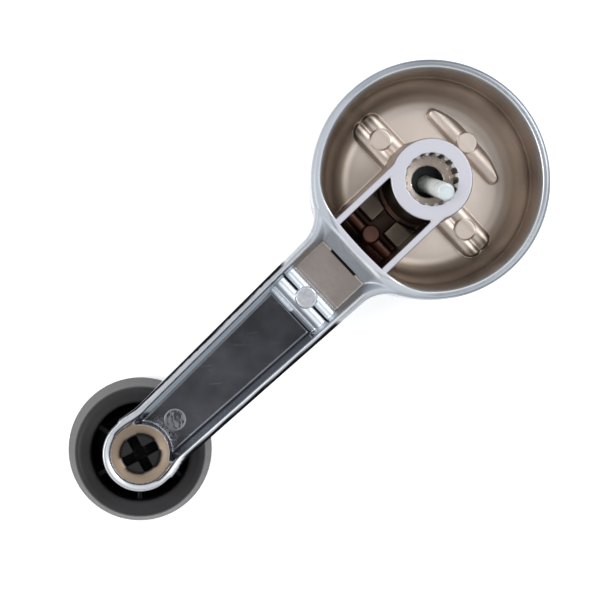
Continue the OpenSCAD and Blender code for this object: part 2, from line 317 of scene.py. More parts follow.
def casting(x, y, z):
    """The whole die casting: the head and the arm, then what is added and what is cut away."""
    r = np.hypot(x, y)
    fillet = 0.05 + 3.0 * step(-7.0, -11.0, z)
    body = smin(head_outer(z, r), arm_outer(x, y, z), fillet)
    body = smax(body, -cup(x, z, r), 0.55)
    body = smax(body, -arm_hollow(x, y, z), 0.6)
    rb = np.hypot(x - CRANK_R, y)
    boss = smax(rb - BOSS_R - 0.05 * (BOSS_TOP - z), z - BOSS_TOP, 0.3)
    boss = np.maximum(boss, -ARM_DEPTH - ARM_DROP + 2 - z)
    body = smin(body, boss, 0.05 + 0.8 * step(BOSS_TOP - 1.0, BOSS_TOP - 3.0, z))
    body = smin(body, neck_bar(x, y, z), 0.25)
    body = smin(body, hub_and_ribs(x, y, z, r), 0.05 + 0.7 * step(-0.8, -4.0, z))
    body = smin(body, floor_details(x, y, z), 0.3)
    body = smax(body, -socket(x, y, z, r), 0.18)
    body = smax(body, -front_recess(r, z), 0.3)
    body = smax(body, -np.maximum(rb - BORE_R, -40 - z), 0.15)
    seat = smax((rb - 4.95 - 2.3 * (z - SEAT_TOP)) * 0.4, SEAT_TOP - z, 0.6)
    return smax(body, -seat, 0.9)


# ---------------------------------------------------------------- knob, cap, screw, face
def knob_shell(z, r):
    """The knob's skirt and front, hollow from the back and recessed for the face disc."""
    radius = KNOB_TOP_R + (KNOB_TOP - 0.6 - z) * KNOB_DRAFT
    side = (r - np.minimum(radius, KNOB_R)) * 0.986
    d = smax(smax(side, z - KNOB_TOP, 1.8), KNOB_END - z, 6.5)
    d = smax(d, -smax(r - 13.5 - 0.02 * (z - KNOB_TOP), KNOB_END + 4.5 - z, 2.5), 1.2)
    return smax(d, -np.maximum(r - 15.2, z - KNOB_END - 1.0), 0.3)


def knob_ribs(x, y, z, r):
    """Thin ribs at even angles between the post and the skirt."""
    angle = np.arctan2(y, x) - math.radians(46)
    sector = math.radians(360 / KNOB_RIBS)
    across = r * np.sin(np.mod(angle + sector / 2, sector) - sector / 2)
    rib = smax(np.abs(across) - 0.65 + 0.012 * (z - KNOB_TOP), z + 22.1, 0.5)
    return np.maximum(np.maximum(rib, r - 14.5), np.maximum(4.5 - r, KNOB_END + 3 - z))


def knob_post(x, y, z, r):
    """The post and its hooked tip, cut into four fingers by two crossing slots."""
    post = smax(r - 6.6, z - KNOB_TOP, 0.6)
    post = smin(post, smax(r - POST_R, z - POST_END, 0.5), 0.3)
    hook = smax(r - 5.45 + 0.25 * np.maximum(z - SEAT_TOP, 0), z - POST_END, 0.8)
    post = np.minimum(post, np.maximum(hook, SEAT_TOP + 0.05 - z))
    post = np.maximum(post, KNOB_END + 3 - z)
    for turn in (math.radians(75), math.radians(75) + math.pi / 2):
        across = x * math.sin(turn) - y * math.cos(turn)
        post = smax(post, -np.maximum(np.abs(across) - 1.35, KNOB_TOP + 0.5 - z), 0.4)
    return post


def knob_field(x, y, z):
    x = x - CRANK_R
    r = np.hypot(x, y)
    d = smin(knob_shell(z, r), knob_ribs(x, y, z, r), 0.8)
    return smin(d, knob_post(x, y, z, r), 0.4)


def cap_field(x, y, z):
    """A thin domed disc with a skirt and a middle pad behind it."""
    r = np.hypot(x, y)
    crown = np.sqrt(r * r + (z - CAP_LOW[2] - CAP_DOME_R) ** 2) - CAP_DOME_R
    disc = smax(np.maximum(crown, z + 21.0), r - 13.7, 0.5)
    skirt = np.maximum(np.abs(r - 8.25) - 0.85, np.maximum(z - CAP_HIGH[2], -21.5 - z))
    pad = smax(r - 6, z + 19.35, 0.4)
    pad = np.maximum(pad, -22 - z)
    return smin(np.minimum(disc, skirt), pad, 0.3)


def face_field(x, y, z):
    """The knob's face: a thin disc, a little dished at the front."""
    r = np.hypot(x - CRANK_R, y)
    dish = 0.28 * step(11.6, 10.6, r)
    return smax(r - 15.0, np.maximum(z - FACE_HIGH[2], FACE_LOW[2] + dish - z), 0.35)


def screw_field(x, y, z):
    """Upright, with its pivot at the origin."""
    r = np.hypot(x, y)
    head = smax(smax(r - SCREW_HEAD_R, -SCREW_HEAD - z, 1.6), z - 0.7, 0.3)
    for a, b in ((x, y), (y, x)):
        slot = np.maximum(np.abs(a) - 0.6, np.abs(b) - 2.4 - 0.5 * (-0.7 - z))
        head = smax(head, -np.maximum(slot, z + 0.75), 0.2)
    shank = smax(r - SCREW_R, z - SCREW_END, 0.75)
    return smin(head, np.maximum(shank, -0.5 - z), 0.6)


def washer_field(x, y, z):
    """Around the screw, in the screw's own upright place."""
    r = np.hypot(x, y)
    middle = (WASHER_LOW + WASHER_HIGH) / 2
    d = smax(np.abs(z - middle) - (WASHER_HIGH - middle), r - WASHER_R, 0.35)
    return smax(d, SCREW_R + 0.1 - r, 0.3)


# ---------------------------------------------------------------- field to mesh
def gradient(field, p, h=0.04):
    g = np.empty_like(p)
    for i in range(3):
        a, b = p.copy(), p.copy()
        a[:, i] += h
        b[:, i] -= h
        g[:, i] = (field(*a.T) - field(*b.T)) / (2 * h)
    return g


def sampled(field, low, high, cell):
    """The field's values on a grid that reaches a little past the box low..high, and its first corner."""
    low = np.asarray(low, dtype=float) - 2.5 * cell
    count = np.ceil((np.asarray(high, dtype=float) + 2.5 * cell - low) / cell).astype(int) + 1
    values = np.empty(count, dtype=np.float32)
    ys = (low[1] + cell * np.arange(count[1])).astype(np.float32)[None, :, None]
    zs = (low[2] + cell * np.arange(count[2])).astype(np.float32)[None, None, :]
    for i in range(0, count[0], 8):
        xs = (low[0] + cell * np.arange(i, min(i + 8, count[0]))).astype(np.float32)[:, None, None]
        x, y, z = np.broadcast_arrays(xs, ys, zs)
        values[i:i + 8] = field(x, y, z)
    return values, low


def onto_surface(field, points, longest):
    """Moves the points along the field's gradient to where it is zero, by short steps."""
    for _ in range(3):
        g = gradient(field, points)
        d = field(*points.T)
        move = (d / np.maximum((g * g).sum(1), 0.25))[:, None] * g
        far = np.linalg.norm(move, axis=1, keepdims=True)
        points = points - move * np.minimum(1, longest / np.maximum(far, 1e-9))
    return points


def solid(name, field, low, high, cell, place=None):
    """Meshes field < 0 inside the box low..high, in mm, and puts it in its place.

    Returns the object, its points as they were before placing, and its normals.
    """
    values, corner = sampled(field, low, high, cell)
    grid = openvdb.FloatGrid(background=3 * cell)
    grid.copyFromArray(np.ascontiguousarray(values))
    points, quads = grid.convertToQuads(isovalue=0.0)
    points = onto_surface(field, points.astype(float) * cell + corner, 0.35 * cell)
    normals = gradient(field, points)
    normals /= np.maximum(np.linalg.norm(normals, axis=1, keepdims=True), 1e-9)
    corners = points[quads]
    face_n = np.cross(corners[:, 2] - corners[:, 0], corners[:, 3] - corners[:, 1])
    if (face_n * normals[quads].mean(1)).sum() < 0:
        quads = quads[:, ::-1]
    raw = points
    if place is not None:
        m = np.array(place.to_3x3())
        points = points @ m.T + np.array(place.translation)
        normals = normals @ m.T
    mesh = bpy.data.meshes.new(name)
    mesh.from_pydata((points * MM).tolist(), [], quads.tolist())
    mesh.polygons.foreach_set("use_smooth", np.ones(len(quads), dtype=bool))
    mesh.normals_split_custom_set_from_vertices(normals.tolist())
    mesh.validate()
    obj = bpy.data.objects.new(name, mesh)
    bpy.context.scene.collection.objects.link(obj)
    return obj, raw, normals


def mask(obj, name, values):
    """Stores one number per point for a material to read."""
    layer = obj.data.attributes.new(name, "FLOAT", "POINT")
    layer.data.foreach_set("value", np.clip(values, 0, 1).astype(np.float32))


class Spots:
    """The casting's surface points in mm, with the measures that its masks are made from."""

    def __init__(self, points, normals):
        self.x, self.y, self.z = points.T
        self.r = np.hypot(self.x, self.y)                     # from the spindle axis
        self.rb = np.hypot(self.x - CRANK_R, self.y)          # from the knob axis
        self.up = normals[:, 2]
        self.level = step(0.88, 0.96, self.up)                # 1 where the surface faces the back
        self.left = step(0.3, -0.3, self.y)                   # 1 on the -Y side
        self.near_end = step(98, 106, self.x)                 # 1 around the knob's end of the arm
        self.depth = back_edge(self.x) - self.z               # below the arm's back edge
        self.beyond = arm_plan(self.x, self.y, 0)             # outside the arm's outline


def rim_masks(s):
    """The flat places at the rim plane, then the rim, the painted highlight on its lip, the painted shade on
    its outer edge, and its shoulder.
    """
    rim = step(28.6, 29.2, s.r) * step(-4.0, -2.5, s.z) * step(33.0, 30.0, s.x)
    # painted highlight along the rim's inner lip, weaker on one side
    lip_highlight = rim * step(31.0, 30.75, s.r) * step(-1.6, -0.6, s.z)
    # painted shade on the rim's outer edge, on the far side and on the +Y side
    rim_edge_shade = rim * step(-6, -22, s.x) * step(30.7, 31.0, s.r)
    head_edge_shade = step(31.9, 32.2, s.r) * step(-6, -4, s.z) * step(-2, 14, s.y) * step(20, 14, s.x)
    bend = step(-2.0, -1.6, s.beyond) * step(29, 31, s.x) * step(45, 42, s.x) * step(-5.0, -3.5, s.z)
    shoulder = step(29.6, 30.0, s.r) * step(-3.2, -2.2, s.z) * step(8, 10, np.abs(s.y)) * step(37, 33, s.x)
    return {
        "flat_top": step(0.5, 0.85, s.up) * step(-1.3, -0.7, s.z) * step(33.5, 31.5, s.x),
        "rim": np.maximum(rim, bend),
        "lip_highlight": lip_highlight * (1 - 0.85 * step(-12, 4, s.x) * step(2, -8, s.y)),
        "rim_edge_shade": np.maximum(rim_edge_shade, head_edge_shade),
        "shoulder": shoulder * np.maximum(step(-4, 8, s.x) * s.left, step(20, 26, s.x)),
    }


def hollow_masks(s):
    """The cup, the pocket between the ribs and the socket, with masks for painted shade on the cup's wall
    and bend and in the serrations' valleys, and for a painted highlight on the tooth ends.
    """
    in_cup = step(0.8, 0.4, s.r - CUP_R - CUP_DRAFT * s.z) * step(27.3, 26.9, s.x)
    in_cup = in_cup * step(-0.35, -0.8, s.z) * step(-20.5, -18.5, s.z)
    pocket = step(8.5, 8.2, np.abs(s.y)) * step(11.0, 11.25, s.r) * step(5, 6, s.x) * step(27.4, 27.1, s.x)
    pocket = pocket * step(-0.6, -1.2, s.z) * step(-20.5, -18.5, s.z)
    on_pad = step(2.9, 2.4, np.hypot(s.x - POCKET_PAD_X, s.y))
    copper = np.maximum(on_pad, step(1.7, 0.8, np.abs(s.x - POCKET_BAR_X)))
    in_socket = step(7.9, 7.6, s.r) * step(-0.35, -0.7, s.z) * step(-13, -12, s.z)
    phase = tooth_phase(s.x, s.y)
    web = in_socket * s.level * step(4.5, 4.8, s.r) * step(-8.2, -8.6, s.z)
    # painted shade: the valleys between the serrations
    valley_shade = in_socket * step(5.2, 6.2, phase) * step(6.2, 6.4, s.r) * step(-0.6, -0.9, s.z)
    return {
        "in_cup": in_cup,
        "cup_wall_shade": in_cup * step(18.5, 23.5, s.r),
        "cup_bend_shade": in_cup * step(21.3, 23.4, s.r) * step(27.6, 25.0, s.r),
        "pocket": pocket,
        "copper": copper * pocket * step(FLOOR + 0.7, FLOOR + 1.5, s.z),
        "blocks": pocket * step(FLOOR + 2.6, FLOOR + 3.4, s.z) * step(19, 18.4, s.x) * step(12.4, 13.2, s.x),
        "in_socket": in_socket,
        "tooth_end_highlight": in_socket * step(6.0, 4.6, phase) * step(-1.9, -1.3, s.z) * step(7.3, 7.15, s.r),
        "web": web,
        "valley_shade": valley_shade * (1 - web),
    }


def neck_masks(s):
    """The pocket of the neck with its panel, and the bars at its end."""
    wall_gap = np.abs(s.y) - pocket_half_width(s.x, s.depth)
    neck = step(0.5, -0.1, wall_gap) * step(28.8, 29.6, s.x) * step(BAR_END + 0.3, BAR_END - 0.3, s.x)
    neck = neck * (s.depth > 0.15) * (s.depth < 5.4)
    panel_end = step(41.3, 41.6, s.x) * step(8.1, 7.8, np.abs(s.y))
    side = neck * step(-6.5, -7.2, s.y) * step(33, 35, s.x) * step(BAR_X, BAR_X - 1, s.x)
    bars = step(BAR_X - 0.3, BAR_X, s.x) * step(50.7, 50.4, s.x) * step(9.1, 8.9, np.abs(s.y))
    return {
        "neck": neck,
        "panel": neck * np.maximum(s.level, panel_end) * step(32.3, 33.0, s.x) * step(43.3, 42.9, s.x),
        "neck_side": side * (1 - s.level),
        "bars": bars * (s.depth < 5.5),
        "bar_pad": step(2.95, 2.8, np.hypot(s.x - BAR_PAD_X, s.y)) * s.level * (s.depth < 5.5),
    }


def arm_masks(s):
    """The channel's walls, one painted light and one painted shade, and its floor, partly a painted dark
    reflection; the boss; the arm's bright rim; and its dark edges, a painted reflection outside and a
    painted shade line inside the rim.
    """
    inside = step(0.5, -0.1, np.abs(s.y) - channel_half_width(s.x) + CHANNEL_DRAFT * s.depth)
    in_arm = inside * step(BAR_END - 0.3, BAR_END + 0.3, s.x) * step(0.15, 0.5, s.depth) * (s.depth < 7.8)
    inner = step(-1.0, -1.6, s.beyond) * step(0.9, 1.6, s.depth)
    skirt = inner * step(12.0, 10.5, s.rb) * step(7.9, 8.2, s.rb) * step(-17.0, -16.5, s.z)
    near_boss = inner * step(96, 98, s.x) * step(8.0, 8.3, s.rb) * step(-17, -16.5, s.z)
    in_arm = np.maximum(in_arm * step(101.5, 99.0, s.x), near_boss)
    on_floor = np.maximum(in_arm * step(5.9 + 0.6 * s.left, 6.5 + 0.4 * s.left, s.depth), skirt)
    boss_face = np.maximum(step(8.0, 7.8, s.rb), step(103.2, 104.0, s.x) * s.level * step(8.9, 8.6, s.rb))

    # painted dark reflection: the black band along the outer side; painted shade: the line inside the rim;
    # each a distance from the outline
    start = -1.05 + (0.65 - 0.25 * step(98, 70, s.x)) * s.left + s.near_end * (0.85 - 0.6 * s.left)
    fade = step(2.6 + 2.4 * s.left, 1.0 + 1.5 * s.left, s.depth)
    rim_in = -2.1 + 0.4 * s.left + s.near_end * (0.25 - 0.4 * s.left)
    past_neck = step(33, 38, s.x) * step(0.2, 0.5, s.up)
    line = step(rim_in - 0.35, rim_in - 0.25, s.beyond) * step(rim_in + 0.05, rim_in - 0.05, s.beyond)
    return {
        "boss_face": boss_face * step(-11.5, -9.6, s.z) * step(-8.5, -8.8, s.z),
        "in_arm": in_arm,
        "channel_floor": on_floor,
        # painted light on the channel's -Y wall and painted shade on its +Y wall
        "wall_painted_light": in_arm * s.left * (1 - on_floor),
        "wall_painted_shade": in_arm * (1 - s.left) * (1 - on_floor),
        "edge_shade_line": line * step(2.2, 1.4, s.depth) * step(43, 46, s.x) * np.maximum(s.left, s.near_end),
        "arm_rim": step(rim_in - 0.1, rim_in + 0.1, s.beyond) * step(0.9, 0.5, s.depth) * past_neck,
        "flank_reflection": step(start - 0.06, start + 0.22, s.beyond) * step(43.5, 46.0, s.x) * fade,
    }


CAST_CELL = 0.36
KNOB_CELL = 0.34

casting_obj, points, normals = solid("crank_casting_surface", casting, CAST_LOW, CAST_HIGH, CAST_CELL)
spots = Spots(points, normals)
for masks in (rim_masks(spots), hollow_masks(spots), neck_masks(spots), arm_masks(spots)):
    for name, values in masks.items():
        mask(casting_obj, name, values)

knob_obj, points, _ = solid("knob_surface", knob_field, KNOB_LOW, KNOB_HIGH, KNOB_CELL)
rk = np.hypot(points[:, 0] - CRANK_R, points[:, 1])
zk = points[:, 2]
# painted shade: the knob's hollow and the slots of its post, the slots darker the deeper they go
hollow = step(14.4, 13.2, rk) * step(KNOB_TOP - 0.2, KNOB_TOP - 1.5, zk)
slots = step(6.2, 5.8, rk) * (0.6 + 0.4 * step(-8.6, -9.6, zk))
mask(knob_obj, "finger", step(6.2, 5.8, rk) * step(-14, -12, zk))
mask(knob_obj, "deep", np.maximum(hollow, slots) * step(KNOB_END + 1.5, KNOB_END + 3, zk))

cap_obj, _, _ = solid("center_cap_surface", cap_field, CAP_LOW, CAP_HIGH, 0.4)
face_obj, _, _ = solid("knob_face_surface", face_field, FACE_LOW, FACE_HIGH, 0.3)

lean = Matrix.Translation((0, 0, PIVOT_Z)) @ Matrix.Rotation(-LEAN, 4, "X")
screw_low = (-SCREW_HEAD_R, -SCREW_HEAD_R, -SCREW_HEAD)
screw_high = (SCREW_HEAD_R, SCREW_HEAD_R, SCREW_END)
screw_obj, points, _ = solid("screw_surface", screw_field, screw_low, screw_high, 0.22, lean)
# painted shade: marks the end face, painted darker than the side
mask(screw_obj, "end", step(18.6, 19.0, points[:, 2]))
washer_low = (-WASHER_R, -WASHER_R, WASHER_LOW)
washer_high = (WASHER_R, WASHER_R, WASHER_HIGH)
washer_obj, _, _ = solid("washer_surface", washer_field, washer_low, washer_high, 0.2, lean)

PIECES = (
    (casting_obj, "crank", "crank_casting", "casting_chrome"),
    (knob_obj, "knob", "knob", "knob_plastic"),
    (cap_obj, "cap", "center_cap", "cap_chrome"),
    (face_obj, "knob", "knob_face", "face_chrome"),
    (screw_obj, "screw", "retaining_screw", "screw_zinc"),
    (washer_obj, "washer", "screw_washer", "washer_fibre"),
)
for piece, body, node, slot in PIECES:
    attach(piece, body)
    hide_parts(node)


# ---------------------------------------------------------------- materials
PLATING = ((0.76, 0.77, 0.79), (0.82, 0.83, 0.85))     # darkest and lightest tone of bright chrome


class Nodes:
    """Short calls for building one material's node tree."""

    def __init__(self, name):
        self.mat = bpy.data.materials.new(name)
        self.mat.use_nodes = True
        self.tree = self.mat.node_tree
        self.bsdf = self.tree.nodes["Principled BSDF"]
        self.coords = self.tree.nodes.new("ShaderNodeTexCoord").outputs["Object"]

    def link(self, source, target):
        self.tree.links.new(source, target)

    def attribute(self, name):
        node = self.tree.nodes.new("ShaderNodeAttribute")
        node.attribute_name = name
        return node.outputs["Fac"]

    def noise(self, scale, detail=4.0, rough=0.55, stretch=None, distortion=0.0, turn=0.0):
        node = self.tree.nodes.new("ShaderNodeTexNoise")
        node.inputs["Scale"].default_value = scale
        node.inputs["Detail"].default_value = detail
        node.inputs["Roughness"].default_value = rough
        node.inputs["Distortion"].default_value = distortion
        source = self.coords
        if stretch:
            mapping = self.tree.nodes.new("ShaderNodeMapping")
            mapping.inputs["Scale"].default_value = stretch
            if turn:
                spin = self.tree.nodes.new("ShaderNodeVectorRotate")
                spin.rotation_type = "Z_AXIS"
                spin.inputs["Angle"].default_value = math.radians(turn)
                self.link(self.coords, spin.inputs["Vector"])
                self.link(spin.outputs["Vector"], mapping.inputs["Vector"])
            else:
                self.link(self.coords, mapping.inputs["Vector"])
            source = mapping.outputs["Vector"]
        self.link(source, node.inputs["Vector"])
        return node.outputs["Fac"]

    def ramp(self, fac, stops):
        node = self.tree.nodes.new("ShaderNodeValToRGB")
        elements = node.color_ramp.elements
        while len(elements) < len(stops):
            elements.new(0.5)
        for element, (place, colour) in zip(elements, stops):
            element.position = place
            colour = colour if isinstance(colour, tuple) else (colour,) * 3
            element.color = (*colour, 1)
        self.link(fac, node.inputs["Fac"])
        return node.outputs["Color"]

    def tone(self, fac, dark, light, low=0.3, high=0.7):
        """From dark where fac is low to light where it is high."""
        return self.ramp(fac, ((low, dark), (high, light)))

    def mix(self, fac, a, b):
        node = self.tree.nodes.new("ShaderNodeMix")
        node.data_type = "RGBA"
        for value, socket_name in ((fac, "Factor"), (a, "A"), (b, "B")):
            sockets = [s for s in node.inputs if s.name == socket_name and s.enabled]
            if hasattr(value, "node"):
                self.link(value, sockets[0])
            elif socket_name == "Factor":
                sockets[0].default_value = value
            else:
                value = value if isinstance(value, tuple) else (value,) * 3
                sockets[0].default_value = (*value, 1)
        return [s for s in node.outputs if s.enabled][0]

    def math(self, operation, a, b=0.5):
        node = self.tree.nodes.new("ShaderNodeMath")
        node.operation = operation
        for value, target in zip((a, b), node.inputs):
            if hasattr(value, "node"):
                self.link(value, target)
            else:
                target.default_value = value
        return node.outputs["Value"]

    def distance(self, x, y):
        """Distance in mm, in plan, from the upright line through (x, y)."""
        node = self.tree.nodes.new("ShaderNodeSeparateXYZ")
        self.link(self.coords, node.inputs["Vector"])
        dx = self.math("SUBTRACT", self.math("MULTIPLY", node.outputs["X"], 1000.0), x)
        dy = self.math("SUBTRACT", self.math("MULTIPLY", node.outputs["Y"], 1000.0), y)
        square = self.math("ADD", self.math("MULTIPLY", dx, dx), self.math("MULTIPLY", dy, dy))
        return self.math("SQRT", square)

    def slab(self, axis, centre, half, soft):
        """1 within half a width, in mm, of a plane across the axis, falling to 0 over soft."""
        node = self.tree.nodes.new("ShaderNodeSeparateXYZ")
        self.link(self.coords, node.inputs["Vector"])
        away = self.math("SUBTRACT", self.math("MULTIPLY", node.outputs[axis], 1000.0), centre)
        return self.window(self.math("ABSOLUTE", away), -2.0, -1.0, half, half + soft)

    def window(self, value, a, b, c, d):
        """Rises from 0 to 1 between a and b, and falls back to 0 between c and d."""
        rise, fall = (self.tree.nodes.new("ShaderNodeMapRange") for _ in range(2))
        for node, low, high, start in ((rise, a, b, 0.0), (fall, c, d, 1.0)):
            self.link(value, node.inputs["Value"])
            node.inputs["From Min"].default_value = low
            node.inputs["From Max"].default_value = high
            node.inputs["To Min"].default_value = start
            node.inputs["To Max"].default_value = 1.0 - start
        return self.math("MULTIPLY", rise.outputs["Result"], fall.outputs["Result"])

    def bump(self, height, distance, strength=1.0, under=None):
        node = self.tree.nodes.new("ShaderNodeBump")
        node.inputs["Distance"].default_value = distance
        node.inputs["Strength"].default_value = strength
        self.link(height, node.inputs["Height"])
        if under is not None:
            self.link(under, node.inputs["Normal"])
        return node.outputs["Normal"]

    def finish(self, obj, colour, rough, normal=None, **values):
        self.link(colour, self.bsdf.inputs["Base Color"])
        self.link(rough, self.bsdf.inputs["Roughness"])
        if normal is not None:
            self.link(normal, self.bsdf.inputs["Normal"])
        for key, value in values.items():
            self.bsdf.inputs[key.replace("_", " ")].default_value = value
        obj.data.materials.clear()
        obj.data.materials.append(self.mat)


def casting_colour(m, k, cloud, soft, fine):
    """Coats of colour over the chrome, each laid where its mask says; the marked ones are painted light and
    shade.
    """
    brushed = m.noise(60, 3, 0.6, stretch=(0.12, 30, 30))
    chrome = m.tone(cloud, (0.43, 0.445, 0.47), (0.50, 0.515, 0.54))
    nickel = m.ramp(cloud, (
        (0.25, (0.50, 0.43, 0.385)),
        (0.55, (0.57, 0.505, 0.455)),
        (0.8, (0.66, 0.595, 0.55)),
    ))
    # painted shade, near black, in the deep pocket between the ribs
    pocket_shade = m.ramp(soft, (
        (0.35, (0.030, 0.020, 0.016)),
        (0.6, (0.10, 0.065, 0.05)),
        (0.75, (0.22, 0.06, 0.035)),
    ))
    # painted shade in the groove between the neck's two ridges
    groove_shade = m.math("SUBTRACT", m.slab("X", BAR_GROOVE_X, 0.22, 0.15), m.slab("Y", 0.0, 3.0, 0.3))
    groove_shade = m.math("MULTIPLY", m.math("MAXIMUM", groove_shade, 0.0), k["bars"])
    slit_shade = m.math("MULTIPLY", m.slab("X", SLIT_X, 0.28, 0.12), m.slab("Y", 0.0, 4.5, 0.4))
    burr = m.math("MULTIPLY", m.slab("X", SLIT_X, 0.18, 0.15), m.slab("Y", 0.0, 7.6, 0.5))
    burr = m.math("MULTIPLY", m.math("MULTIPLY", burr, k["neck"]), 0.5)
    coats = (
        (k["in_cup"], nickel),
        # painted shade: the cup's wall darker than its floor
        (k["cup_wall_shade"], m.tone(cloud, (0.38, 0.33, 0.29), (0.52, 0.455, 0.405), 0.25, 0.75)),
        # painted shade in the bend between the cup's floor and its wall
        (m.math("MULTIPLY", k["cup_bend_shade"], 0.8), (0.115, 0.09, 0.07)),
        # painted shade in the pocket between the ribs
        (k["pocket"], pocket_shade),
        (k["blocks"], m.tone(soft, (0.17, 0.14, 0.11), (0.23, 0.19, 0.155))),
        (k["copper"], m.tone(soft, (0.11, 0.055, 0.042), (0.20, 0.11, 0.085))),
        (k["in_socket"], m.tone(fine, (0.36, 0.32, 0.29), (0.46, 0.42, 0.38))),
        (k["web"], m.tone(fine, (0.74, 0.64, 0.56), (0.86, 0.75, 0.67))),
        # painted shade in the serrations' valleys
        (k["valley_shade"], m.tone(fine, (0.03, 0.026, 0.022), (0.11, 0.095, 0.08))),
        # painted highlight on the chamfered ends of the teeth
        (k["tooth_end_highlight"], (0.92, 0.94, 0.95)),
        (k["neck"], m.tone(cloud, (0.34, 0.365, 0.40), (0.43, 0.455, 0.49))),
        (k["bars"], m.tone(soft, (0.54, 0.58, 0.63), (0.68, 0.72, 0.77))),
        (groove_shade, (0.03, 0.035, 0.04)),
        (k["bar_pad"], m.tone(fine, (0.34, 0.35, 0.38), (0.46, 0.47, 0.50))),
        (k["neck_side"], m.tone(soft, (0.34, 0.30, 0.27), (0.42, 0.37, 0.33))),
        (k["in_arm"], m.tone(brushed, (0.42, 0.46, 0.52), (0.58, 0.62, 0.68), 0.35, 0.65)),
        # painted light on the -Y wall of the channel, painted shade on the +Y wall
        (k["wall_painted_light"], m.tone(brushed, (0.44, 0.50, 0.56), (0.56, 0.62, 0.68), 0.35, 0.65)),
        (k["wall_painted_shade"], m.tone(brushed, (0.17, 0.19, 0.22), (0.26, 0.28, 0.32), 0.35, 0.65)),
        # the channel floor's dark tone: partly its own dark finish, partly a painted reflection of the dark
        # room overhead
        (k["channel_floor"], m.tone(cloud, (0.12, 0.125, 0.14), (0.17, 0.175, 0.195))),
        (k["panel"], m.tone(soft, (0.22, 0.195, 0.18), (0.27, 0.24, 0.225))),
        (k["boss_face"], m.tone(soft, (0.205, 0.16, 0.12), (0.26, 0.205, 0.155))),
        (k["flat_top"], m.tone(fine, (0.485, 0.485, 0.525), (0.53, 0.53, 0.57))),
        (k["rim"], m.tone(cloud, (0.36, 0.395, 0.44), (0.45, 0.48, 0.52))),
        # painted highlight on the rim's inner lip
        (k["lip_highlight"], (0.60, 0.62, 0.63)),
        # painted shade on the rim's outer edge
        (m.math("MULTIPLY", k["rim_edge_shade"], 0.75), (0.20, 0.215, 0.24)),
        (m.math("MULTIPLY", k["shoulder"], 0.85), (0.42, 0.445, 0.48)),
        (k["arm_rim"], m.tone(soft, (0.48, 0.50, 0.53), (0.56, 0.58, 0.61))),
        # painted shade: the dark line inside the arm's rim
        (k["edge_shade_line"], (0.03, 0.035, 0.045)),
        (burr, (0.62, 0.55, 0.46)),
        # painted shade: the dark line of the slit
        (m.math("MULTIPLY", slit_shade, k["neck"]), (0.012, 0.012, 0.012)),
        # painted dark reflection: the black band along the arm's outer side
        (k["flank_reflection"], (0.006, 0.006, 0.008)),
    )
    colour = chrome
    for amount, coat in coats:
        colour = m.mix(amount, colour, coat)
    return colour


def floor_wear(m, k, scrape):
    """A pushed-up ejector mark and the rough skin beside the knob post, on the channel's floor."""
    strokes = m.noise(900, 3, 0.6, stretch=(1, 0.3, 1), turn=45)
    from_mark = m.distance(MARK_X, 0.0)
    ring = m.window(from_mark, 2.55, 2.7, 2.9, 3.05)
    disc = m.window(from_mark, -2.0, -1.0, 2.6, 2.8)
    disc = m.math("MULTIPLY", disc, m.window(strokes, 0.50, 0.60, 2.0, 3.0))
    skin = m.window(m.distance(CRANK_R, 0.0), 7.8, 8.2, 9.8, 12.2)
    skin = m.math("MULTIPLY", skin, m.slab("Y", 0.6, 2.6, 3.6))
    skin = m.math("MULTIPLY", skin, m.window(scrape, 0.46, 0.58, 2.0, 3.0))
    worn = m.math("MAXIMUM", m.math("MULTIPLY", disc, 0.6), m.math("MULTIPLY", skin, 0.5))
    worn = m.math("MAXIMUM", worn, m.math("MULTIPLY", ring, 0.75))
    return m.math("MULTIPLY", worn, k["channel_floor"])


def casting_rough(m, k, cloud, soft, fine, worn):
    """Mirror-bright plating, made duller where each mask says."""
    finishes = (
        (k["neck"], m.tone(fine, 0.36, 0.44)),
        (k["bars"], 0.46),
        (k["bar_pad"], 0.6),
        (k["neck_side"], 0.6),
        (k["in_arm"], 0.24),
        (k["channel_floor"], m.tone(soft, 0.20, 0.27)),
        (k["in_cup"], m.tone(fine, 0.46, 0.54)),
        (k["cup_wall_shade"], m.tone(fine, 0.32, 0.38)),
        (k["pocket"], 0.45),
        (k["in_socket"], 0.3),
        (k["web"], 0.5),
        (k["tooth_end_highlight"], 0.5),
        (k["valley_shade"], 0.8),
        (k["panel"], m.tone(fine, 0.46, 0.56)),
        (k["boss_face"], 0.55),
        (k["flat_top"], m.tone(fine, 0.62, 0.72)),
        (k["rim"], m.tone(fine, 0.34, 0.42)),
        (k["shoulder"], 0.6),
        (k["arm_rim"], 0.4),
        (k["wall_painted_light"], 0.5),
        (k["edge_shade_line"], 0.6),
        (worn, 0.5),
        (k["flank_reflection"], 0.95),
    )
    rough = m.tone(cloud, 0.10, 0.16, 0.3, 0.75)
    for amount, value in finishes:
        rough = m.mix(amount, rough, value)
    return rough


